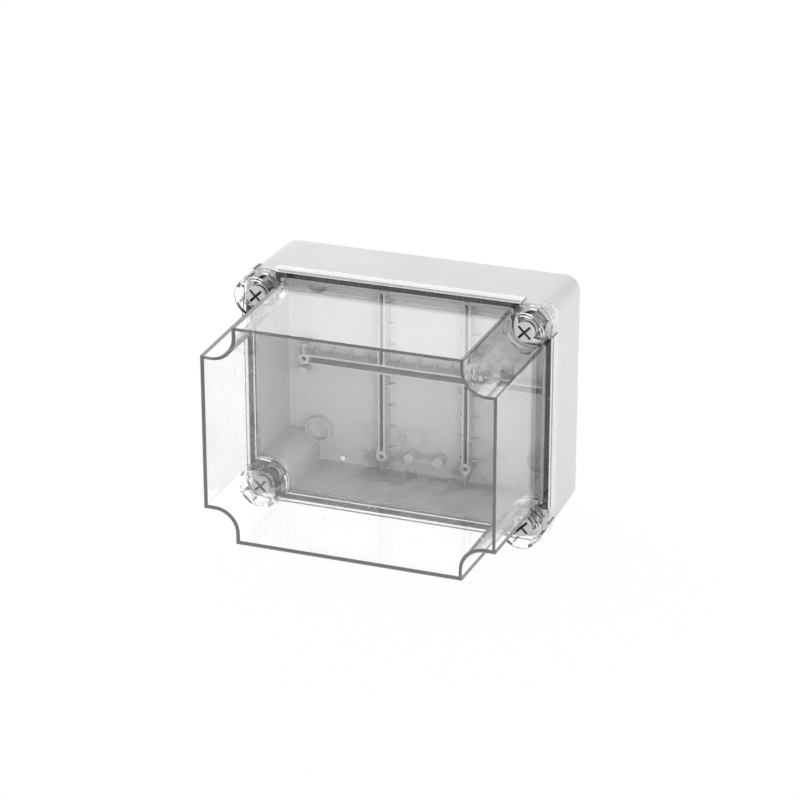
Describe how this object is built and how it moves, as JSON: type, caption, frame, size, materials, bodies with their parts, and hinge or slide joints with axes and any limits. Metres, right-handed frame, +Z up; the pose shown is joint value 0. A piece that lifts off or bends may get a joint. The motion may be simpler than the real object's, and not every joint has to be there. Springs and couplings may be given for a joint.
{
  "type": "electrical box",
  "caption": "Surface-mounting plastic junction box with a deep clear lid, corner screws in clear towers, and rails and bosses inside for fixing a plate.",
  "frame": {"origin": "middle of the back face, the face that lies on the wall", "axes": "+X along the width, +Z up, +Y into the wall; the lid faces -Y"},
  "size_m": [0.1992, 0.1434, 0.1542],
  "materials": {
    "grey_shell": "fine satin moulded light grey",
    "seal": "dark closed-cell seal",
    "clear_cover": "clear polished",
    "grey_screw": "satin mid grey"
  },
  "bodies": {
    "base": {"base": "grey_shell", "gasket": "seal"},
    "lid": {"lid": "clear_cover"},
    "screw_top_left": {"screw_top_left": "grey_screw"},
    "screw_top_right": {"screw_top_right": "grey_screw"},
    "screw_bottom_left": {"screw_bottom_left": "grey_screw"},
    "screw_bottom_right": {"screw_bottom_right": "grey_screw"}
  },
  "joints": [
    {"name": "lid_lift", "type": "slide", "parent": "base", "child": "lid", "axis": [0, -1, 0], "range_m": [0, 0.09]},
    {"name": "screw_top_left_turn", "type": "hinge", "parent": "lid", "child": "screw_top_left", "pos_m": [-0.0855, -0.0713, 0.063], "axis": [0, -1, 0], "range_deg": [0, 90]},
    {"name": "screw_top_right_turn", "type": "hinge", "parent": "lid", "child": "screw_top_right", "pos_m": [0.0855, -0.0713, 0.063], "axis": [0, -1, 0], "range_deg": [0, 90]},
    {"name": "screw_bottom_left_turn", "type": "hinge", "parent": "lid", "child": "screw_bottom_left", "pos_m": [-0.0855, -0.0713, -0.063], "axis": [0, -1, 0], "range_deg": [0, 90]},
    {"name": "screw_bottom_right_turn", "type": "hinge", "parent": "lid", "child": "screw_bottom_right", "pos_m": [0.0855, -0.0713, -0.063], "axis": [0, -1, 0], "range_deg": [0, 90]}
  ]
}
